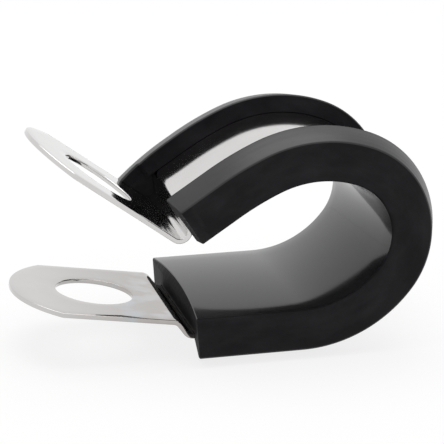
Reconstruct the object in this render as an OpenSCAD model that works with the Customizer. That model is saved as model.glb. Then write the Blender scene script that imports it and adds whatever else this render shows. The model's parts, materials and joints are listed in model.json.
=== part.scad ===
// Rubber-lined P clip, sprung open: one bent steel strip and the rubber channel that grips it round the loop.
// X runs from the lower fixing tab to the loop, Y along the cable that the loop holds, and Z is up.
// The origin is the centre of the lower fixing hole, on the top face of its tab.

/* [Steel strip] */
// Width of the strip
strip_w = 12.7; // [9:0.1:20]
// Thickness of the strip
strip_t = 0.4; // [0.3:0.05:0.8]
// Straight length of the lower arm inside the rubber
lower_arm = 8.6; // [6:0.1:16]
// Radius of the heel, the first bend of the loop after the lower arm
heel_r = 10.1; // [8.5:0.1:14]
// Turn of the heel
heel_turn = 51.5; // [42:0.5:60]
// Radius of the nose, the tight bend at the front of the loop
nose_r = 6.4; // [5:0.1:9]
// Turn of the nose
nose_turn = 106.5; // [95:0.5:114]
// Radius of the crown, the bend over the top of the loop
crown_r = 10.3; // [8.5:0.1:14]
// Turn of the crown
crown_turn = 45.5; // [36:0.5:54]
// Radius of the shoulder, the gentle bend that leads into the upper arm
shoulder_r = 24.7; // [15:0.1:40]
// Slope of the upper arm, down towards the tabs
upper_arm_slope = 33; // [30:0.5:40]
// Straight length of the upper arm inside the rubber, along its front edge
upper_arm = 3.7; // [2:0.1:8]

/* [Fixing tabs] */
// Diameter of the fixing holes
hole_d = 6.4; // [4.3:0.1:6.6]
// Distance from the centre of a hole to the tip of its tab
hole_setback = 7; // [5:0.1:7.1]
// How far the rounded tip of a tab stands past its corners
tip_rise = 3.35; // [1:0.05:4.4]
// Flat length of the lower tab, from the joggle to its tip
lower_tab = 12.4; // [10.3:0.1:24]
// Slope of the lower tab, up towards its tip
lower_tab_slope = 8.8; // [0:0.1:15]
// Height that the joggle lifts the lower tab above the strip inside the rubber
joggle_lift = 1.3; // [0.8:0.05:2]
// Slope of the joggle
joggle_slope = 55; // [40:1:75]
// Inside radius of the joggle's two bends
joggle_r = 0.6; // [0.4:0.05:0.8]
// Flat length of the upper tab, from its bend to its tip
upper_tab = 10.4; // [10.3:0.1:24]
// Slope of the upper tab, up towards its tip
upper_tab_slope = 36.2; // [20:0.1:50]
// Inside radius of the bend between the upper arm and its tab
tab_bend_r = 2; // [1:0.1:3]
// Bare strip between the rubber and the bend of the upper tab, along the front edge
bare_strip = 0.45; // [0.3:0.05:3]

/* [Rubber channel] */
// Thickness of the rubber under the edges of the strip
base_t = 1.9; // [1:0.1:2.5]
// How far the middle of the cable face stands above its edges
face_crown = 0.5; // [0.1:0.05:0.8]
// Rubber beside each edge of the strip
side_t = 2; // [1:0.1:3]
// How far each lip reaches over the strip
lip_grip = 0.75; // [0.3:0.05:2]
// Height of a lip's outer edge above the strip
lip_edge_h = 1; // [0.6:0.05:2]
// Height of a lip's crest above the strip
lip_crest_h = 1.85; // [1.5:0.05:3]
// Width of the sloping top of a lip
lip_top_w = 2.25; // [1.5:0.05:2.6]
// Skew of the cut at the upper end of the channel
end_skew = 5.6; // [0:0.1:8]
// Gap between the strip and the rubber round it
strip_clear = 0.03; // [0.02:0.01:0.1]

/* [Hidden] */
$fn = 128;
cut_size = 60;

// The legs of a path join as one solid because a bend runs into its neighbours by lap and is a seam or two fuller.
lap = 0.05;
seam = 0.002;

// Seams that the crowned cable face takes where a flat one takes one, so that its curved edges stay apart
face_seams = 10;

half_w = strip_w / 2;
liner_half_w = half_w + side_t;
shoulder_turn = 180 + upper_arm_slope - heel_turn - nose_turn - crown_turn;
skew_reach = 2 * liner_half_w * tan(end_skew);
face_r = (liner_half_w * liner_half_w + face_crown * face_crown) / (2 * face_crown);
tip_r = (half_w * half_w + tip_rise * tip_rise) / (2 * tip_rise);

// A path is a list of [length, 0] for a straight and [radius, turn] for a bend, and a positive turn is to the left.
// It follows the face of the strip that lies against the rubber's base, and a pose on it is [x, z, heading].
loop_path = [
    [lower_arm, 0],
    [heel_r, heel_turn],
    [nose_r, nose_turn],
    [crown_r, crown_turn],
    [shoulder_r, shoulder_turn]
];
upper_arm_path = [[upper_arm + bare_strip, 0]];
tab_bend_path = [[tab_bend_r + strip_t, -(upper_arm_slope + upper_tab_slope)]];
joggle_run = (joggle_lift - joggle_r * (1 - cos(joggle_slope))
    - (joggle_r + strip_t) * (cos(lower_tab_slope) - cos(joggle_slope))) / sin(joggle_slope);
joggle_path = [
    [joggle_r, joggle_slope],
    [joggle_run, 0],
    [joggle_r + strip_t, lower_tab_slope - joggle_slope]
];

function bend_end(pose, r, turn) = [
    pose[0] + r * (sin(pose[2] + turn) - sin(pose[2])),
    pose[1] - r * (cos(pose[2] + turn) - cos(pose[2])),
    pose[2] + turn
];
function straight_end(pose, length) = [
    pose[0] + length * cos(pose[2]),
    pose[1] + length * sin(pose[2]),
    pose[2]
];
function next_pose(pose, leg) =
    leg[1] == 0 ? straight_end(pose, leg[0]) : bend_end(pose, sign(leg[1]) * leg[0], leg[1]);
function pose_after(path, count, start) =
    count == 0 ? start : next_pose(pose_after(path, count - 1, start), path[count - 1]);
function path_end(path, start) = pose_after(path, len(path), start);

// The joggle and the lower tab run the other way, so they are laid out along +X and mirrored.
lower_hole = straight_end(path_end(joggle_path, [0, 0, 0]), lower_tab - hole_setback);
joggle_pose = [-lower_hole[0], -lower_hole[1], 0];
lower_tab_pose = path_end(joggle_path, joggle_pose);
start_pose = [lower_hole[0], -lower_hole[1], 0];
arm_pose = path_end(loop_path, start_pose);
tab_bend_pose = path_end(upper_arm_path, arm_pose);
upper_tab_pose = path_end(tab_bend_path, tab_bend_pose);

// Puts what follows at a pose: X is the heading, and -Z points out of the loop.
module at_pose(pose) {
    translate([pose[0], 0, pose[1]]) rotate([0, -pose[2], 0]) children();
}

// One leg of a path, with the section's X pointing out of the loop and its Y across the strip.
module leg_solid(leg) {
    lap_turn = lap / leg[0] * 180 / PI;
    if (leg[1] == 0)
        rotate([0, 90, 0]) linear_extrude(leg[0]) children();
    if (leg[1] > 0)
        translate([0, 0, leg[0]]) rotate([90, 90, 0])
            rotate_extrude(angle = leg[1] + 2 * lap_turn, start = -lap_turn)
                translate([leg[0], 0]) children();
    if (leg[1] < 0)
        translate([0, 0, -leg[0]]) rotate([-90, -90, 0])
            rotate_extrude(angle = -leg[1] + 2 * lap_turn, start = -lap_turn)
                translate([leg[0], 0]) mirror([1, 0]) children();
}

// A section swept along a path. The section's modules grow by $fuller, which keeps neighbouring legs apart in size.
module sweep(path, start) {
    for (i = [0:len(path) - 1]) {
        $fuller = path[i][1] == 0 ? 0 : (1 + i % 2) * seam;
        at_pose(pose_after(path, i, start)) leg_solid(path[i]) children();
    }
}

module strip_section(grow = $fuller) {
    translate([-grow, -half_w - grow]) square([strip_t + 2 * grow, strip_w + 2 * grow]);
}

// A flat tab that starts at a bend and ends in a rounded tip, with its fixing hole.
module tab_plate(length) {
    translate([0, 0, -strip_t]) linear_extrude(strip_t) difference() {
        intersection() {
            translate([0, -half_w]) square([length, strip_w]);
            translate([length - tip_r, 0]) circle(tip_r);
        }
        translate([length - hole_setback, 0]) circle(d = hole_d);
    }
}

// One lip, from inside the base up over the strip's edge to its crest.
module lip_outline() {
    polygon([
        [-base_t / 2, liner_half_w + $fuller],
        [strip_t + lip_edge_h + $fuller, liner_half_w + $fuller],
        [strip_t + lip_crest_h + $fuller, liner_half_w - lip_top_w - $fuller],
        [strip_t, half_w - lip_grip - $fuller],
        [-base_t / 2, half_w - lip_grip - $fuller]
    ]);
}

// The base under the strip, as wide as the channel, with its crowned cable face.
module base_outline() {
    intersection() {
        translate([-base_t - 2 * face_crown, -liner_half_w - $fuller])
            square([base_t + 2 * face_crown, 2 * (liner_half_w + $fuller)]);
        translate([face_r - base_t - face_crown, 0]) circle(face_r + face_seams * $fuller);
    }
}

// The channel's section: a crowned base, and two lips that fold over the edges of the strip.
module liner_section() {
    difference() {
        union() {
            base_outline();
            lip_outline();
            mirror([0, 1]) lip_outline();
        }
        strip_section(strip_clear - $fuller);
    }
}

module steel_strip() {
    color("silver") {
        sweep(loop_path, start_pose) strip_section();
        sweep(upper_arm_path, arm_pose) strip_section();
        sweep(tab_bend_path, tab_bend_pose) strip_section();
        at_pose(upper_tab_pose) tab_plate(upper_tab);
        mirror([1, 0, 0]) {
            sweep(joggle_path, joggle_pose) strip_section();
            at_pose(lower_tab_pose) tab_plate(lower_tab);
        }
    }
}

module rubber_liner() {
    color("#1c1c1e") {
        sweep(loop_path, start_pose) liner_section();
        difference() {
            sweep([[upper_arm + skew_reach, 0]], arm_pose) liner_section();
            at_pose(arm_pose) translate([upper_arm, -liner_half_w, 0]) rotate([0, 0, -end_skew])
                translate([0, -cut_size / 2, -cut_size / 2]) cube(cut_size);
            sweep(tab_bend_path, tab_bend_pose) strip_section(strip_clear);
        }
    }
}

steel_strip();
rubber_liner();
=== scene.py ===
import json
from collections import namedtuple
from math import acos, atan2, ceil, cos, hypot, pi, radians, sin, sqrt, tan

import bmesh
import bpy
from bpy.props import FloatProperty, FloatVectorProperty, IntProperty, PointerProperty
from mathutils import Matrix, Vector


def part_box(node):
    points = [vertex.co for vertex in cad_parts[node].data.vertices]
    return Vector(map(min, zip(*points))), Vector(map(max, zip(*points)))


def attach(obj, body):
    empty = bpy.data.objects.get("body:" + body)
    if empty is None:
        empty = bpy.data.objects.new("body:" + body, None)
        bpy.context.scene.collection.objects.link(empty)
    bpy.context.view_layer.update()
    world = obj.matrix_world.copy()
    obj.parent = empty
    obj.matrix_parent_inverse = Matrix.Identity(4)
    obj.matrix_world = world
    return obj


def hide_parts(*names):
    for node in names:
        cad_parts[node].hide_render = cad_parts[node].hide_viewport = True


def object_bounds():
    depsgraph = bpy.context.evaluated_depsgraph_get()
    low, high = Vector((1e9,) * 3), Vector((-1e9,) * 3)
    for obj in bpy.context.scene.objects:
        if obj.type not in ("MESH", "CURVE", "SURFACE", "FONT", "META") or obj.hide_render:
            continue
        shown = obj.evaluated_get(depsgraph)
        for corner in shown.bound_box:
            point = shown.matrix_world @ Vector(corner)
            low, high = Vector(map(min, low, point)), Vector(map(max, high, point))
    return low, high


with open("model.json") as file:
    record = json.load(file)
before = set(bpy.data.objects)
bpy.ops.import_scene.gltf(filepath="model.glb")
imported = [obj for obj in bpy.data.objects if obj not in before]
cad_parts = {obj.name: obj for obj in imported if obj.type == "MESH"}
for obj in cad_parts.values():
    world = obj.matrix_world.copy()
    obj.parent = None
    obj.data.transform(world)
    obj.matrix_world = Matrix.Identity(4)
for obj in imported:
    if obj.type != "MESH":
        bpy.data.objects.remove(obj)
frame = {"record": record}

bl_info = {
    "name": "Rubber-lined P clip",
    "version": (1, 0, 0),
    "blender": (4, 5, 0),
    "location": "View3D > Sidebar > P clip",
    "description": "Dresses the packed P clip: rubber channel, bright steel strip, studio stage",
    "category": "Object",
}

MM = 0.001
CAD_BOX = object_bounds()
MOUNTS = {mount["name"]: mount for mount in frame["record"]["mounts"]}


def box_width(node):
    """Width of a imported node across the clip, in metres."""
    low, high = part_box(node)
    return high[1] - low[1]


def tab_slope(mount_name):
    """Slope of a fixing tab, from the axis of its hole, in radians."""
    axis = MOUNTS[mount_name]["axis"]
    return atan2(abs(axis[0]), abs(axis[2]))


def length_property(label, description, value_mm):
    """A length in the panel, whose default is given in millimetres."""
    return FloatProperty(name=label, description=description, default=value_mm * MM,
                         unit="LENGTH", precision=4)


def angle_property(label, description, value_deg):
    """An angle in the panel, whose default is given in degrees."""
    return FloatProperty(name=label, description=description, default=radians(value_deg), subtype="ANGLE")


def colour_property(label, description, value):
    """A colour in the panel."""
    return FloatVectorProperty(name=label, description=description, default=value,
                               subtype="COLOR", min=0, max=1)


class StripSizes(bpy.types.PropertyGroup):
    """Sizes of the bent strip, measured along the face that lies on the rubber."""

    width: FloatProperty(name="Width", description="Width of the strip",
                         default=box_width("steel_strip"), unit="LENGTH", precision=4)
    thickness: length_property("Thickness", "Thickness of the strip", 0.4)
    lower_arm: length_property("Lower arm", "Straight length under the cable", 8.6)
    heel_radius: length_property("Heel radius", "Radius of the first bend of the loop", 10.1)
    heel_turn: angle_property("Heel turn", "Turn of the first bend of the loop", 51.5)
    nose_radius: length_property("Nose radius", "Radius of the tight bend at the front", 6.4)
    nose_turn: angle_property("Nose turn", "Turn of the tight bend at the front", 106.5)
    crown_radius: length_property("Crown radius", "Radius of the bend over the top", 10.3)
    crown_turn: angle_property("Crown turn", "Turn of the bend over the top", 45.5)
    shoulder_radius: length_property("Shoulder radius", "Radius of the gentle bend into the upper arm", 24.7)
    upper_arm: length_property("Upper arm", "Straight length over the end of the rubber's base", 2.6)
    upper_arm_slope: angle_property("Upper arm slope", "Slope of the upper arm down to the tabs", 33)
    bare_strip: length_property("Bare strip", "Strip between the rubber's base and the tuck", 0.1)
    tuck_turn: angle_property("Tuck turn", "Turn of the tuck past the end of the rubber's base", 66)
    tuck_drop: length_property("Tuck drop", "Straight length of the tuck", 0.79)
    upper_tab: length_property("Upper tab", "Flat length of the upper tab", 13.15)
    lower_tab: length_property("Lower tab", "Flat length of the lower tab", 12.4)
    joggle_lift: length_property("Joggle lift", "Height that the joggle lifts the lower tab", 1.3)
    joggle_slope: angle_property("Joggle slope", "Slope of the joggle", 55)
    joggle_radius: length_property("Joggle radius", "Inside radius of the tight bends beside the tabs", 0.6)
    hole_setback: length_property("Hole setback", "Distance from a hole's centre to its tab's tip", 7)
    tip_rise: length_property("Tip rise", "How far a rounded tip stands past its corners", 3.35)
    edge_round: length_property("Edge round", "Rounding of the strip's stamped edges", 0.09)


class RubberSizes(bpy.types.PropertyGroup):
    """Sizes of the rubber channel's section and its cut ends."""

    width: FloatProperty(name="Width", description="Width of the channel",
                         default=box_width("rubber_liner"), unit="LENGTH", precision=4)
    base: length_property("Base", "Rubber under the edges of the strip", 1.9)
    crown: length_property("Crown", "How far the cable face bulges in the middle", 0.5)
    lip_grip: length_property("Lip grip", "How far a lip reaches over the strip", 0.75)
    lip_edge: length_property("Lip edge", "Height of a lip's outer edge above the strip", 1.0)
    lip_crest: length_property("Lip crest", "Height of the front lip's crest above the strip", 1.85)
    far_crest: length_property("Far crest", "Height of the rear lip's crest, which lies flatter", 1.45)
    lip_top: length_property("Lip top", "Width of the sloping top of a lip", 2.25)
    clearance: length_property("Clearance", "Gap between the strip and the rubber", 0.03)
    face_round: length_property("Face round", "Rounding of the cable face's long edges", 0.3)
    lip_round: length_property("Lip round", "Rounding of the lips' long edges", 0.16)
    end_round: length_property("End round", "Rounding of the cut ends", 0.06)
    end_skew: angle_property("End skew", "Skew of the cut across the sides at the upper end", 9)
    side_reach: length_property("Side reach", "How far the front side runs on past the base", 1.0)
    lip_reach: length_property("Lip reach", "How far the lips reach over the strip past the base", 1.5)
    slump: length_property("Slump", "How far the rear lip slumps at the upper end", 0.55)
    slump_length: length_property("Slump length", "Length over which the rear lip slumps", 5.2)
    far_lean: FloatProperty(name="Far lean", default=0.22,
                            description="Lean of the rear side's cut at the upper end")
    end_bow: length_property("End bow", "How far the lower cut bows in at its middle", 0.42)
    end_lean: FloatProperty(name="End lean", default=0.067,
                            description="Lean of the lower cut, out at the cable face")
    lip_pull: length_property("Lip pull", "How far a lip's crest draws back from the lower cut", 0.25)
    end_fade: length_property("End fade", "Length over which the lower cut's form dies away", 3.0)


class ClipColours(bpy.types.PropertyGroup):
    """Colours of the clip's two materials and of the stage."""

    steel: colour_property("Steel", "Bright rolled stainless steel", (0.63, 0.62, 0.615))
    # The lower tab's darker steel: partly duller steel, partly a painted reflection of the black rubber near
    # the rubber's lower end.
    dull_steel_and_painted_reflection: colour_property("Dull steel", "Duller steel of the lower tab", (0.42, 0.4, 0.385))
    straw_tint: colour_property("Straw tint", "Warm heat tint by the joggle", (0.66, 0.52, 0.42))
    blue_tint: colour_property("Blue tint", "Cool heat tint by the joggle", (0.46, 0.53, 0.6))
    rubber: colour_property("Rubber", "Black rubber", (0.006, 0.0055, 0.0065))
    rubber_bloom: colour_property("Rubber bloom", "Grey bloom on the rubber's skin", (0.02, 0.019, 0.021))
    floor: colour_property("Floor", "Studio floor", (0.9, 0.9, 0.9))


class StageSizes(bpy.types.PropertyGroup):
    """The studio: where the camera stands and how bright the lamps are."""

    azimuth: angle_property("Azimuth", "Turn of the camera round the clip", -14.086)
    elevation: angle_property("Elevation", "Height of the camera above the clip", 17.025)
    distance: length_property("Distance", "Distance from the camera to the point it looks at", 172)
    target: FloatVectorProperty(name="Target", description="Point that the camera looks at",
                                default=(10.851 * MM, 0, 5.140 * MM), subtype="TRANSLATION", precision=4)
    lens: FloatProperty(name="Lens", description="Focal length in millimetres", default=168.56)
    world_light: FloatProperty(name="World light", description="Strength of the even light", default=0.75)
    top_light: FloatProperty(name="Top light", description="Power of the soft box overhead", default=0.55,
                             unit="POWER")
    floor_reach: length_property("Floor reach", "Half the side of the floor", 3000)


class ClipLook(bpy.types.PropertyGroup):
    """Everything that can be set on the dressed clip."""

    strip: PointerProperty(type=StripSizes)
    rubber: PointerProperty(type=RubberSizes)
    colours: PointerProperty(type=ClipColours)
    stage: PointerProperty(type=StageSizes)
    section_steps: IntProperty(name="Section steps", description="Facets on each rounded corner of the rubber",
                               default=6, min=2)


# The path of the bent strip

Leg = namedtuple("Leg", "run turn")
Pose = namedtuple("Pose", "x z heading")


def straight(length):
    return Leg(length, 0.0)


def bend(radius, turn):
    """A bend of the face that lies on the rubber. A positive turn is to the left."""
    return Leg(radius * abs(turn), turn)


def advance(pose, leg, run):
    """The pose after a run along a leg that starts at a pose."""
    if leg.turn == 0:
        return Pose(pose.x + run * cos(pose.heading), pose.z + run * sin(pose.heading), pose.heading)
    radius = leg.run / leg.turn
    heading = pose.heading + run / radius
    return Pose(
        pose.x + radius * (sin(heading) - sin(pose.heading)),
        pose.z - radius * (cos(heading) - cos(pose.heading)),
        heading,
    )


def beside(pose, across, out):
    """The point at a pose, a distance across the clip and a distance out of the loop."""
    return Vector((pose.x + out * sin(pose.heading), across, pose.z - out * cos(pose.heading)))


class StripPath:
    """The developed strip, from the tip of the lower tab to the tip of the upper one."""

    def __init__(self, sizes):
        low_slope = tab_slope("lower_fixing_hole")
        high_slope = tab_slope("upper_fixing_hole")
        thick = sizes.thickness
        joggle_run = (
            sizes.joggle_lift
            - sizes.joggle_radius * (1 - cos(sizes.joggle_slope))
            - (sizes.joggle_radius + thick) * (cos(low_slope) - cos(sizes.joggle_slope))
        ) / sin(sizes.joggle_slope)
        shoulder_turn = pi + sizes.upper_arm_slope - sizes.heel_turn - sizes.nose_turn - sizes.crown_turn
        fold_turn = sizes.tuck_turn + sizes.upper_arm_slope + high_slope
        self.legs = {
            "lower_tab": straight(sizes.lower_tab),
            "joggle_top": bend(sizes.joggle_radius + thick, low_slope - sizes.joggle_slope),
            "joggle": straight(joggle_run),
            "joggle_foot": bend(sizes.joggle_radius, sizes.joggle_slope),
            "lower_arm": straight(sizes.lower_arm),
            "heel": bend(sizes.heel_radius, sizes.heel_turn),
            "nose": bend(sizes.nose_radius, sizes.nose_turn),
            "crown": bend(sizes.crown_radius, sizes.crown_turn),
            "shoulder": bend(sizes.shoulder_radius, shoulder_turn),
            "upper_arm": straight(sizes.upper_arm + sizes.bare_strip),
            "tuck": bend(sizes.joggle_radius, sizes.tuck_turn),
            "drop": straight(sizes.tuck_drop),
            "fold": bend(sizes.joggle_radius + thick, -fold_turn),
            "upper_tab": straight(sizes.upper_tab),
        }
        hole = MOUNTS["lower_fixing_hole"]["pos_m"]
        pose = Pose(
            hole[0] - sizes.hole_setback * cos(low_slope),
            hole[2] + sizes.hole_setback * sin(low_slope),
            -low_slope,
        )
        self.start, self.begin, run = {}, {}, 0.0
        for name, leg in self.legs.items():
            self.start[name] = pose
            self.begin[name] = run
            pose = advance(pose, leg, leg.run)
            run += leg.run
        self.length = run

    def pose(self, run):
        """The pose at a run from the lower tip. Past either end the path goes straight on."""
        name = [n for n in self.legs if self.begin[n] <= run or n == "lower_tab"][-1]
        return advance(self.start[name], self.legs[name], run - self.begin[name])

    def place(self, run, across, out):
        return beside(self.pose(run), across, out)

    def stations(self, first, last, spacing, per_turn):
        """Runs from first to last, close together in bends and further apart on straights."""
        runs = []
        for name, leg in self.legs.items():
            low = max(first, self.begin[name])
            high = min(last, self.begin[name] + leg.run)
            if high <= low:
                continue
            share = (high - low) / leg.run
            count = max(ceil((high - low) / spacing), ceil(abs(leg.turn) * share / per_turn))
            runs += [low + (high - low) * i / count for i in range(count)]
        return runs + [last]


# Mesh building

JOIN_DIGITS = 8  # points that agree to this many decimals of a metre are one
STRAIGHT_HALF = radians(89)  # a corner whose half angle is wider than this is left as it is


def add_object(name, data):
    """A new object in the scene."""
    made = bpy.data.objects.new(name, data)
    bpy.context.scene.collection.objects.link(made)
    return made


def rounded(corners, steps):
    """A closed outline with each corner [x, y, radius, face] rounded.

    Each point carries the name of the face that follows it.
    """
    outline = []
    for i, (x, y, radius, face) in enumerate(corners):
        before = Vector(corners[i - 1][:2])
        after = Vector(corners[(i + 1) % len(corners)][:2])
        here = Vector((x, y))
        u, v = (before - here).normalized(), (after - here).normalized()
        half = acos(max(-1.0, min(1.0, u.dot(v)))) / 2
        if radius == 0 or half > STRAIGHT_HALF:
            outline.append((here, face))
            continue
        centre = here + (u + v).normalized() * (radius / sin(half))
        first = here + u * (radius / tan(half)) - centre
        last = here + v * (radius / tan(half)) - centre
        sweep = first.angle_signed(last)
        for j in range(steps + 1):
            turn = first.copy()
            turn.rotate(Matrix.Rotation(-sweep * j / steps, 2))
            outline.append((centre + turn, face if j == steps else corners[i - 1][3]))
    return outline


class Skin:
    """Collects the points and faces of one mesh, joining points that meet."""

    def __init__(self):
        self.points, self.index = [], {}
        self.faces, self.materials, self.uvs = [], [], []

    def point(self, position):
        key = tuple(round(c, JOIN_DIGITS) for c in position)
        if key not in self.index:
            self.index[key] = len(self.points)
            self.points.append(tuple(position))
        return self.index[key]

    def face(self, positions, uvs, material=0):
        corners, marks = [], []
        for position, uv in zip(positions, uvs):
            i = self.point(position)
            if i not in corners:
                corners.append(i)
                marks.append(uv)
        if len(corners) > 2:
            self.faces.append(corners)
            self.uvs += marks
            self.materials.append(material)

    def build(self, name, materials, sharp_angle):
        mesh = bpy.data.meshes.new(name)
        mesh.from_pydata(self.points, [], self.faces)
        layer = mesh.uv_layers.new(name="developed")
        for loop, uv in zip(layer.data, self.uvs):
            loop.uv = uv
        for material in materials:
            mesh.materials.append(material)
        for polygon, material in zip(mesh.polygons, self.materials):
            polygon.material_index = material
        solid = bmesh.new()
        solid.from_mesh(mesh)
        bmesh.ops.recalc_face_normals(solid, faces=solid.faces)
        solid.to_mesh(mesh)
        solid.free()
        mesh.shade_smooth()
        mesh.set_sharp_from_angle(angle=sharp_angle)
        return add_object(name, mesh)


# The rubber channel

FACE_STEPS = 10  # facets of the crowned cable face on each side of its middle
SIDE_STEPS = 12  # rings of each side past the end of the base
RING_SPACING = 0.35 * MM  # between rings on a straight
RING_TURN = radians(2.2)  # between rings in a bend
LIP_THIN = 0.03 * MM  # least distance across between a lip's foot and its crest
SLOT_MATCH = 1e-7  # how closely a point has to lie to the floor of the strip's slot
RUBBER_SHARP = radians(30)
# The finish of each kind of face, as its place in RUBBER_FINISHES
RUBBER_FACES = {"cable": 0, "side": 1, "lip_top": 2, "lip_wall": 3, "hidden": 1, "cut": 4}


def lip_heights(rubber, slump):
    """Heights of the outer edge and the crest above the strip, of the rear lip and then of the front one."""
    return (rubber.lip_edge - slump, rubber.far_crest - slump), (rubber.lip_edge, rubber.lip_crest)


def channel_outline(strip, rubber, steps, slump=0.0, spread=0.0):
    """The channel's closed section, as points [out, across] and the name of the face that follows each.

    slump lowers the rear lip, and spread draws its inner edge back, clear of the strip.
    """
    gap = rubber.clearance
    half = rubber.width / 2
    slot = strip.width / 2 + gap
    bulge_radius = (half * half + rubber.crown ** 2) / (2 * rubber.crown)

    def face_out(y):
        return bulge_radius - rubber.base - rubber.crown - sqrt(bulge_radius ** 2 - y * y)

    face_ys = [slot * i / FACE_STEPS for i in range(-FACE_STEPS, FACE_STEPS + 1)]
    corners = [[face_out(y), y, 0, "cable"] for y in face_ys]
    for side, (edge, crest) in zip((1, -1), lip_heights(rubber, slump)):
        foot = strip.width / 2 - rubber.lip_grip
        if side > 0:
            foot += (slot - foot) * spread
        top = max(half - rubber.lip_top, foot + LIP_THIN)
        lip = [
            [-rubber.base, half, rubber.face_round, "side"],
            [strip.thickness + edge, half, rubber.lip_round, "lip_top"],
            [strip.thickness + crest, top, rubber.lip_round, "lip_wall"],
            [strip.thickness + gap, foot, 0, "hidden"],
            [strip.thickness + gap, slot, 0, "hidden"],
            [-gap, slot, 0, "hidden"],
        ]
        if side < 0:
            faces = ["hidden", "hidden", "lip_wall", "lip_top", "side", "cable"]
            lip = [[out, -y, radius, face] for (out, y, radius, _), face in zip(reversed(lip), faces)]
        corners += lip
    return rounded(corners, steps)


def ease(share):
    """A share held between 0 and 1 and squared, so that it starts gently."""
    return max(0.0, min(1.0, share)) ** 2


def inset(outline, depth):
    """The outline moved inwards by a depth, corner by corner."""
    moved = []
    for i, (here, face) in enumerate(outline):
        before = (here - outline[i - 1][0]).normalized()
        after = (outline[(i + 1) % len(outline)][0] - here).normalized()
        normal = Vector(((before + after).y, -(before + after).x)).normalized()
        moved.append((here + normal * depth, face))
    return moved


class Channel:
    """The rubber channel swept round the loop, with rounded long edges and softly rounded cuts."""

    def __init__(self, look):
        self.strip, self.rubber, self.steps = look.strip, look.rubber, look.section_steps
        self.path = StripPath(self.strip)
        self.half = self.rubber.width / 2
        self.first = self.path.begin["lower_arm"]
        self.base_end = self.path.begin["upper_arm"] + self.strip.upper_arm
        self.skin = Skin()

    def far_end(self):
        """The run at which the rear side ends."""
        return self.base_end + self.rubber.side_reach + 2 * self.half * tan(self.rubber.end_skew)

    def section(self, run):
        """The section at a run, with the rear lip's slump and spread towards the upper end."""
        rubber = self.rubber
        slump = ease((run - self.far_end()) / rubber.slump_length + 1) * rubber.slump
        spread = ease((run - self.base_end - rubber.side_reach) / (rubber.lip_reach - rubber.side_reach))
        return channel_outline(self.strip, rubber, self.steps, slump, spread)

    def start_shift(self, out, across):
        """How far the lower cut lies along the strip from a square one."""
        rubber = self.rubber
        edge = self.strip.thickness + rubber.lip_edge
        pull = rubber.lip_pull * max(0.0, out - edge) / (rubber.lip_crest - rubber.lip_edge)
        return rubber.end_lean * (out - edge) + pull + rubber.end_bow * (1 - (across / self.half) ** 2)

    def upper_cut(self, out, across):
        """The run of the upper cut through the channel's sides."""
        rubber = self.rubber
        lean = rubber.far_lean * (across + self.half) / (2 * self.half)
        edge = self.strip.thickness + rubber.lip_edge - rubber.slump
        skew = (across + self.half) * tan(rubber.end_skew)
        return self.base_end + rubber.side_reach + skew + lean * min(0.0, out - edge)

    def place(self, run, across, out):
        """A point of the channel, which goes straight on past both arms where the strip bends away."""
        path = self.path
        if path.begin["heel"] <= run <= path.begin["upper_arm"]:
            return path.place(run, across, out)
        arm = "lower_arm" if run < path.begin["heel"] else "upper_arm"
        return beside(advance(path.start[arm], path.legs[arm], run - path.begin[arm]), across, out)

    def body_point(self, run, corner):
        """A point of the channel's body, whose lower end follows the lower cut."""
        out, across = corner
        fade = max(0.0, 1 - (run - self.first) / self.rubber.end_fade) ** 2
        return self.place(run + fade * self.start_shift(out, across), across, out)

    def side_point(self, share, corner):
        """A point of a side past the base's end, at a share of the way to the upper cut."""
        out, across = corner
        run = self.base_end + share * (self.upper_cut(out, across) - self.base_end)
        return self.place(run, across, out)

    def band(self, rows, faces):
        """Faces between rows of points. Each row has its own run for the developed coordinates."""
        first = rows[0][1]
        girth = [0.0]
        for here, after in zip(first, first[1:] + first[:1]):
            girth.append(girth[-1] + (after - here).length)
        for (run, points), (next_run, next_points) in zip(rows, rows[1:]):
            for i, face in enumerate(faces):
                j = (i + 1) % len(faces)
                low, high = girth[i], girth[i + 1]
                self.skin.face(
                    [points[i], points[j], next_points[j], next_points[i]],
                    [(run, low), (run, high), (next_run, high), (next_run, low)],
                    RUBBER_FACES[face],
                )

    def cap(self, points, corners):
        """A flat cut, whose developed coordinates are the corners of the section."""
        self.skin.face(points, [tuple(corner) for corner in corners], RUBBER_FACES["cut"])

    def body(self):
        """The whole section, from the lower cut to the end of the base.

        Returns the last ring and its points.
        """
        soft = self.rubber.end_round
        rings = [(self.first, inset(self.section(self.first), soft))]
        for run in self.path.stations(self.first + soft, self.base_end, RING_SPACING, RING_TURN):
            rings.append((run, self.section(run)))
        rows = [(run, [self.body_point(run, corner) for corner, _ in ring]) for run, ring in rings]
        self.band(rows, [face for _, face in rings[0][1]])
        self.cap(rows[0][1], [corner for corner, _ in rings[0][1]])
        return rings[-1][1], rows[-1][1]

    def side(self, pick):
        """One side of the channel, from the end of the base to the upper cut.

        pick lists the points of the whole section that belong to the side.
        """
        soft = self.rubber.end_round
        shares = [i / SIDE_STEPS for i in range(SIDE_STEPS)] + [1 - soft / self.rubber.side_reach, 1.0]
        rows = []
        for share in shares:
            run = self.base_end + share * (self.far_end() - self.base_end)
            whole = self.section(run)
            part = [whole[i] for i in pick]
            if share == 1.0:
                part = inset(part, soft)
            rows.append((run, [self.side_point(share, corner) for corner, _ in part]))
        faces = [whole[i][1] for i in pick[:-1]] + ["cut"]
        self.band(rows, faces)
        self.cap(rows[-1][1], [corner for corner, _ in part])

    def build(self):
        """The body, its two sides, and the end of the base between them."""
        ring, points = self.body()
        far_foot = FACE_STEPS * 2
        slot_out = -self.rubber.clearance
        far_slot, near_slot = [
            i for i, (corner, _) in enumerate(ring) if abs(corner.x - slot_out) < SLOT_MATCH
        ]
        self.side(list(range(far_foot, far_slot + 1)))
        self.side(list(range(near_slot, len(ring))) + [0])
        base = list(range(far_foot + 1)) + [far_slot, near_slot]
        self.cap([points[i] for i in base], [ring[i][0] for i in base])
        return self.skin


# The steel strip

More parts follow.
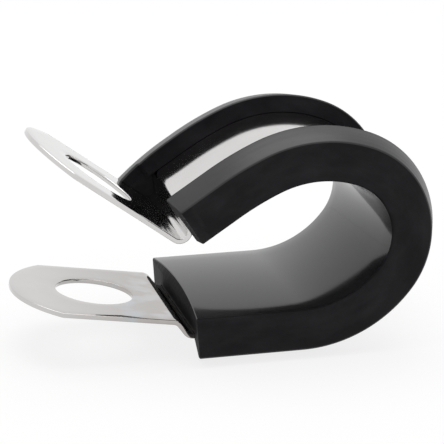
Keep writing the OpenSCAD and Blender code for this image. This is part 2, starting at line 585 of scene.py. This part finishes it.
EDGE_STEPS = 4  # facets of each rounded edge
ACROSS_STEPS = 24  # faces across the ribbon
STRIP_SPACING = 0.5 * MM  # between the ribbon's rows on a straight
STRIP_TURN = radians(2)  # between the ribbon's rows in a bend
HOLE_MARGIN = 1.2 * MM  # from a hole's edge to the start of the ribbon
TAB_SIDE_STEPS = 14  # facets along each side of a tab
TIP_STEPS = 40  # facets round its tip
TAB_RINGS = 5  # rings of faces between a tab's rim and its hole
STEEL_SHARP = radians(40)


def edge_profile(thickness, radius, steps):
    """Points [inset, out] over a rounded stamped edge, from the face on the rubber to the outer face."""
    points = []
    for i in range(steps + 1):
        a = pi / 2 * i / steps
        points.append((radius * (1 - sin(a)), radius * (1 - cos(a))))
    return points + [(x, thickness - y) for x, y in reversed(points)]


class Blank:
    """The strip's developed blank with its thickness: a ribbon, and two tabs with rounded tips and holes."""

    def __init__(self, look):
        strip = look.strip
        self.path = StripPath(strip)
        self.half = strip.width / 2
        self.thickness = strip.thickness
        self.round = strip.edge_round
        self.profile = edge_profile(strip.thickness, strip.edge_round, EDGE_STEPS)
        self.hole_radius = MOUNTS["lower_fixing_hole"]["dims"]["r_mm"] * MM
        self.setback = strip.hole_setback
        self.tip_rise = strip.tip_rise
        self.tip_radius = (self.half ** 2 + strip.tip_rise ** 2) / (2 * strip.tip_rise)
        self.skin = Skin()

    def across(self):
        """Places across the flat of the strip, between its rounded edges."""
        flat = self.half - self.round
        return [flat * (2 * i / ACROSS_STEPS - 1) for i in range(ACROSS_STEPS + 1)]

    def quad(self, corners, flip):
        """A face from corners [run, across, out]."""
        if flip:
            corners = corners[::-1]
        self.skin.face([self.path.place(*c) for c in corners], [(c[0], c[1]) for c in corners])

    def ribbon(self, first, last):
        """The plain strip between two runs."""
        runs = self.path.stations(first, last, STRIP_SPACING, STRIP_TURN)
        ys = self.across()
        for a, b in zip(runs, runs[1:]):
            for y, z in zip(ys, ys[1:]):
                for out, flip in ((0.0, False), (self.thickness, True)):
                    self.quad([(a, y, out), (b, y, out), (b, z, out), (a, z, out)], flip)
            for side in (-1, 1):
                for (p, low), (q, high) in zip(self.profile, self.profile[1:]):
                    y, z = side * (self.half - p), side * (self.half - q)
                    self.quad([(a, y, low), (b, y, low), (b, z, high), (a, z, high)], side > 0)

    def tab_edge(self, tip, join, inward):
        """The edge of a tab, as places [run, across, the way into the tab], which is None along its join."""
        centre = tip + inward * self.tip_radius
        corner_angle = atan2(self.half, self.tip_radius - self.tip_rise)
        corner_run = centre - inward * self.tip_radius * cos(corner_angle)
        edge = [(join, y, None) for y in self.across()]
        for i in range(TAB_SIDE_STEPS + 1):
            edge.append((join + (corner_run - join) * i / TAB_SIDE_STEPS, self.half, (0.0, -1.0)))
        for i in range(1, TIP_STEPS):
            a = corner_angle * (1 - 2 * i / TIP_STEPS)
            run = centre - inward * self.tip_radius * cos(a)
            edge.append((run, self.tip_radius * sin(a), (inward * cos(a), -sin(a))))
        for i in range(TAB_SIDE_STEPS + 1):
            edge.append((corner_run + (join - corner_run) * i / TAB_SIDE_STEPS, -self.half, (0.0, 1.0)))
        return edge

    def tab(self, tip, inward):
        """A tab whose tip is at a run. Returns the run where it joins the ribbon.

        inward is 1 where the strip goes on to higher runs, and -1 where it goes on to lower ones.
        """
        hole_run = tip + inward * self.setback
        join = tip + inward * (self.setback + self.hole_radius + HOLE_MARGIN)
        edge = self.tab_edge(tip, join, inward)
        count = len(edge)

        def rim(k, depth):
            run, y, inner = edge[k % count]
            return (run, y) if inner is None else (run + inner[0] * depth, y + inner[1] * depth)

        def bore(k, depth):
            run, y = rim(k, self.round)
            span = hypot(run - hole_run, y)
            reach = self.hole_radius + depth
            return (hole_run + (run - hole_run) / span * reach, y / span * reach)

        def flat(k, share):
            (a, y), (b, z) = rim(k, self.round), bore(k, self.round)
            return (a + (b - a) * share, y + (z - y) * share)

        for k in range(count):
            for out, turned in ((0.0, False), (self.thickness, True)):
                for r in range(TAB_RINGS):
                    corners = ((k, r), (k + 1, r), (k + 1, r + 1), (k, r + 1))
                    self.quad([(*flat(i, ring / TAB_RINGS), out) for i, ring in corners],
                              turned == (inward > 0))
            walls = [(bore, inward > 0)]
            if edge[k][2] is not None and edge[(k + 1) % count][2] is not None:
                walls.append((rim, inward < 0))
            for (p, low), (q, high) in zip(self.profile, self.profile[1:]):
                for line, flip in walls:
                    lower, upper = (*line(k, p), low), (*line(k + 1, p), low)
                    self.quad([lower, upper, (*line(k + 1, q), high), (*line(k, q), high)], flip)
        return join

    def build(self):
        """The two tabs, and the ribbon between them."""
        low = self.tab(0.0, 1)
        high = self.tab(self.path.length, -1)
        self.ribbon(low, high)
        return self.skin


# Materials

Finish = namedtuple("Finish", "name rough gloss streaks grain")

# The heights of the streaks and of the grain are in millimetres.
RUBBER_FINISHES = (
    Finish("rubber_cable_face", 0.1, 0.45, 0.0012, 0.0006),
    Finish("rubber_side", 0.5, 0.12, 0.002, 0.004),
    Finish("rubber_lip_top", 0.38, 0.5, 0.002, 0.002),
    Finish("rubber_lip_wall", 0.55, 0.05, 0.002, 0.003),
    Finish("rubber_cut", 0.6, 0.15, 0.004, 0.006),
)
ROUGH_SPREAD = 0.15  # share by which the rubber's roughness varies

# Runs along the strip, in millimetres from the lower tip
DULL_AND_REFLECTION_RUNS = (2.0, 11.0)  # over which the lower tab grows duller and darker towards the rubber; the darkening is partly a painted reflection of the black rubber
ARM_RUNS = (14.5, 18.0)  # over which the dullness, its painted reflection of the rubber and the tints die away under the rubber
# Each heat tint's start and full run, and the levels of the cloud between which it shows
HEAT_TINTS = {"straw_tint": (9.6, 11.4, 0.5, 0.62), "blue_tint": (7.6, 9.2, 0.5, 0.6)}
# share of the darkening, duller steel and painted reflection of the rubber, at the lower tip
TIP_DULL_AND_REFLECTION = 0.25
TINT_STRENGTH = 0.45
STEEL_SHADE = 0.93  # brightness of the steel's darker clouds
STEEL_ROUGH = (0.06, 0.11)
STEEL_GRAIN = 0.0006 * MM
NOISE_ROUGHNESS = 0.6


def new_material(name):
    """A material with its node tree and its main shader."""
    material = bpy.data.materials.new(name)
    material.use_nodes = True
    tree = material.node_tree
    return material, tree, tree.nodes["Principled BSDF"]


def node(tree, kind, **settings):
    made = tree.nodes.new(kind)
    for key, value in settings.items():
        setattr(made, key, value)
    return made


def developed(tree, along, across):
    """The developed surface's own coordinates, stretched: low values give long streaks."""
    uv = node(tree, "ShaderNodeUVMap", uv_map="developed")
    stretch = node(tree, "ShaderNodeMapping")
    stretch.inputs["Scale"].default_value = (along / MM, across / MM, 1.0)
    tree.links.new(uv.outputs["UV"], stretch.inputs["Vector"])
    return stretch.outputs["Vector"]


def noise(tree, vector, scale, detail):
    made = node(tree, "ShaderNodeTexNoise")
    made.inputs["Scale"].default_value = scale
    made.inputs["Detail"].default_value = detail
    made.inputs["Roughness"].default_value = NOISE_ROUGHNESS
    tree.links.new(vector, made.inputs["Vector"])
    return made.outputs["Fac"]


def ramp(tree, value, low, high, low_out=0.0, high_out=1.0):
    """A value that goes from low to high, brought to the range from low_out to high_out."""
    made = node(tree, "ShaderNodeMapRange")
    for key, number in (("From Min", low), ("From Max", high), ("To Min", low_out), ("To Max", high_out)):
        made.inputs[key].default_value = number
    tree.links.new(value, made.inputs["Value"])
    return made.outputs["Result"]


def combine(tree, operation, a, b):
    """The result of an operation on two values, such as their product."""
    made = node(tree, "ShaderNodeMath", operation=operation)
    tree.links.new(a, made.inputs[0])
    tree.links.new(b, made.inputs[1])
    return made.outputs[0]


def mix_colours(tree, factor, a, b):
    """A mix of two colours, each a constant or a socket."""
    made = node(tree, "ShaderNodeMix", data_type="RGBA")
    tree.links.new(factor, made.inputs["Factor"])
    for socket, value in ((made.inputs["A"], a), (made.inputs["B"], b)):
        if isinstance(value, bpy.types.NodeSocket):
            tree.links.new(value, socket)
        else:
            socket.default_value = (*value, 1.0)
    return made.outputs["Result"]


def bump(tree, shader, height, distance, base=None):
    """Relief on a shader, over the base's own where there is one."""
    made = node(tree, "ShaderNodeBump")
    made.inputs["Distance"].default_value = distance
    made.inputs["Strength"].default_value = 1.0
    tree.links.new(height, made.inputs["Height"])
    if base is not None:
        tree.links.new(base, made.inputs["Normal"])
    tree.links.new(made.outputs["Normal"], shader.inputs["Normal"])
    return made.outputs["Normal"]


def rubber_material(finish, colours):
    """Black extruded rubber. Streaks run along the channel, and grain is the fine tooth of its skin."""
    material, tree, shader = new_material(finish.name)
    shader.inputs["Specular IOR Level"].default_value = finish.gloss
    lines = noise(tree, developed(tree, along=0.05, across=3.0), scale=1.0, detail=4.0)
    cloud = noise(tree, developed(tree, along=0.25, across=0.5), scale=1.0, detail=3.0)
    tooth = noise(tree, developed(tree, along=1.0, across=1.0), scale=14.0, detail=2.0)
    bloom = ramp(tree, cloud, 0.4, 0.75, high_out=0.6)
    tone = mix_colours(tree, bloom, colours.rubber, colours.rubber_bloom)
    tree.links.new(tone, shader.inputs["Base Color"])
    smooth, rough = finish.rough * (1 - ROUGH_SPREAD), finish.rough * (1 + ROUGH_SPREAD)
    tree.links.new(ramp(tree, lines, 0.3, 0.7, smooth, rough), shader.inputs["Roughness"])
    streaks = bump(tree, shader, lines, finish.streaks * MM)
    bump(tree, shader, tooth, finish.grain * MM, base=streaks)
    return material


def steel_material(colours):
    """Bright rolled stainless steel with fine grain, faintly tinted by heat on the lower tab, and darker
    towards the rubber, partly duller steel and partly a painted reflection of the black rubber.
    """
    material, tree, shader = new_material("stainless_strip")
    shader.inputs["Metallic"].default_value = 1.0
    grain = noise(tree, developed(tree, along=0.12, across=9.0), scale=1.0, detail=4.0)
    cloud = noise(tree, developed(tree, along=0.3, across=0.35), scale=1.0, detail=2.0)
    shade = tuple(c * STEEL_SHADE for c in colours.steel)
    tone = mix_colours(tree, ramp(tree, cloud, 0.35, 0.65, high_out=0.5), colours.steel, shade)
    place = node(tree, "ShaderNodeSeparateXYZ")
    tree.links.new(developed(tree, along=1.0, across=1.0), place.inputs["Vector"])
    run = place.outputs["X"]
    before_arm = ramp(tree, run, *ARM_RUNS, 1.0, 0.0)
    # The lower tab darkens towards the rubber: partly duller steel, partly a painted reflection of the black
    # rubber.
    dull_and_painted_reflection = combine(tree, "MULTIPLY", ramp(tree, run, *DULL_AND_REFLECTION_RUNS, TIP_DULL_AND_REFLECTION, 1.0), before_arm)
    tone = mix_colours(tree, dull_and_painted_reflection, tone, colours.dull_steel_and_painted_reflection)
    for tint, (start, full, low, high) in HEAT_TINTS.items():
        patch = combine(tree, "MULTIPLY", ramp(tree, run, start, full), before_arm)
        patch = combine(tree, "MULTIPLY", patch, ramp(tree, cloud, low, high, high_out=TINT_STRENGTH))
        tone = mix_colours(tree, patch, tone, getattr(colours, tint))
    tree.links.new(tone, shader.inputs["Base Color"])
    tree.links.new(ramp(tree, grain, 0.3, 0.7, *STEEL_ROUGH), shader.inputs["Roughness"])
    bump(tree, shader, grain, STEEL_GRAIN)
    return material


# Operators

LAMP_PLACE = (0.02, 0.05, 0.32)
LAMP_SIDE = 0.3
FLOOR_GLOW = 0.8  # share of plain white in the floor that the camera and reflections see


class CLIP_OT_rubber_liner(bpy.types.Operator):
    """Make the rubber channel that lines the loop"""

    bl_idname = "clip.rubber_liner"
    bl_label = "Rubber liner"

    def execute(self, context):
        look = context.scene.clip_look
        materials = [rubber_material(finish, look.colours) for finish in RUBBER_FINISHES]
        piece = Channel(look).build().build("rubber_channel", materials, RUBBER_SHARP)
        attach(piece, "root")
        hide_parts("rubber_liner")
        return {"FINISHED"}


class CLIP_OT_steel_strip(bpy.types.Operator):
    """Make the bent steel strip with its two fixing tabs"""

    bl_idname = "clip.steel_strip"
    bl_label = "Steel strip"

    def execute(self, context):
        look = context.scene.clip_look
        piece = Blank(look).build().build("bent_strip", [steel_material(look.colours)], STEEL_SHARP)
        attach(piece, "root")
        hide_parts("steel_strip")
        return {"FINISHED"}


def seen_directly(tree):
    """1 where the camera looks or a reflection shows, and 0 where a surface is only lit."""
    rays = node(tree, "ShaderNodeLightPath")
    return combine(tree, "MAXIMUM", rays.outputs["Is Camera Ray"], rays.outputs["Is Glossy Ray"])


def mix_shaders(tree, factor, a, b, output_kind):
    """Sends a mix of two shaders to a new output node."""
    mixed = node(tree, "ShaderNodeMixShader")
    for i, source in enumerate((factor, a.outputs[0], b.outputs[0])):
        tree.links.new(source, mixed.inputs[i])
    tree.links.new(mixed.outputs[0], node(tree, output_kind).inputs[0])


class CLIP_OT_stage(bpy.types.Operator):
    """Set up the pale floor, the soft light and the camera"""

    bl_idname = "clip.stage"
    bl_label = "Stage"

    def execute(self, context):
        scene = context.scene
        look = scene.clip_look
        scene.view_settings.view_transform = "Standard"
        self.floor(look)
        self.world(scene, look.stage)
        self.lamp(look.stage)
        self.camera(scene, look.stage)
        return {"FINISHED"}

    def floor(self, look):
        """A wide floor under the clip, which keeps the clip's shadow."""
        r, height = look.stage.floor_reach, CAD_BOX[0][2]
        mesh = bpy.data.meshes.new("floor")
        corners = [(-r, -r, height), (r, -r, height), (r, r, height), (-r, r, height)]
        mesh.from_pydata(corners, [], [(0, 1, 2, 3)])
        piece = add_object("floor", mesh)
        material = bpy.data.materials.new("floor")
        material.use_nodes = True
        tree = material.node_tree
        tree.nodes.clear()
        plain = node(tree, "ShaderNodeBsdfDiffuse")
        plain.inputs["Color"].default_value = (*look.colours.floor, 1.0)
        white = node(tree, "ShaderNodeEmission")
        glow = node(tree, "ShaderNodeMath", operation="MULTIPLY")
        glow.inputs[1].default_value = FLOOR_GLOW
        tree.links.new(seen_directly(tree), glow.inputs[0])
        mix_shaders(tree, glow.outputs[0], plain, white, "ShaderNodeOutputMaterial")
        mesh.materials.append(material)

    def world(self, scene, stage):
        """Even light from all round, which looks white."""
        world = bpy.data.worlds.new("studio")
        scene.world = world
        world.use_nodes = True
        tree = world.node_tree
        tree.nodes.clear()
        light, white = [node(tree, "ShaderNodeBackground") for _ in range(2)]
        for background, strength in ((light, stage.world_light), (white, 1.0)):
            background.inputs["Color"].default_value = (1, 1, 1, 1)
            background.inputs["Strength"].default_value = strength
        mix_shaders(tree, seen_directly(tree), light, white, "ShaderNodeOutputWorld")

    def lamp(self, stage):
        """A soft box overhead."""
        data = bpy.data.lights.new("overhead_box", "AREA")
        data.shape = "RECTANGLE"
        data.size = data.size_y = LAMP_SIDE
        data.energy = stage.top_light
        lamp = add_object("overhead_box", data)
        lamp.location = LAMP_PLACE
        aim = Vector(stage.target) - Vector(LAMP_PLACE)
        lamp.rotation_euler = aim.to_track_quat("-Z", "Y").to_euler()

    def camera(self, scene, stage):
        """The camera, which looks at its target from a turn and a height."""
        data = bpy.data.cameras.new("camera")
        data.lens = stage.lens
        data.sensor_width = 36
        data.clip_start = 0.01
        data.clip_end = 50
        camera = add_object("camera", data)
        back = Vector((
            sin(stage.azimuth) * cos(stage.elevation),
            -cos(stage.azimuth) * cos(stage.elevation),
            sin(stage.elevation),
        ))
        camera.location = Vector(stage.target) + back * stage.distance
        camera.rotation_euler = back.to_track_quat("Z", "Y").to_euler()
        scene.camera = camera


class CLIP_PT_look(bpy.types.Panel):
    """The clip's pieces, one button each"""

    bl_idname = "CLIP_PT_look"
    bl_label = "P clip"
    bl_space_type = "VIEW_3D"
    bl_region_type = "UI"
    bl_category = "P clip"

    def draw(self, context):
        look = context.scene.clip_look
        for operator in OPERATORS:
            self.layout.operator(operator.bl_idname)
        for group in (look.strip, look.rubber, look.colours, look.stage):
            box = self.layout.box()
            for key in group.__annotations__:
                box.prop(group, key)


OPERATORS = (CLIP_OT_rubber_liner, CLIP_OT_steel_strip, CLIP_OT_stage)
CLASSES = (StripSizes, RubberSizes, ClipColours, StageSizes, ClipLook, *OPERATORS, CLIP_PT_look)


def register():
    for cls in CLASSES:
        bpy.utils.register_class(cls)
    bpy.types.Scene.clip_look = PointerProperty(type=ClipLook)


def unregister():
    del bpy.types.Scene.clip_look
    for cls in reversed(CLASSES):
        bpy.utils.unregister_class(cls)


def main():
    """Make every piece in order."""
    register()
    bpy.ops.clip.rubber_liner()
    bpy.ops.clip.steel_strip()
    bpy.ops.clip.stage()


if __name__ == "__main__":
    main()
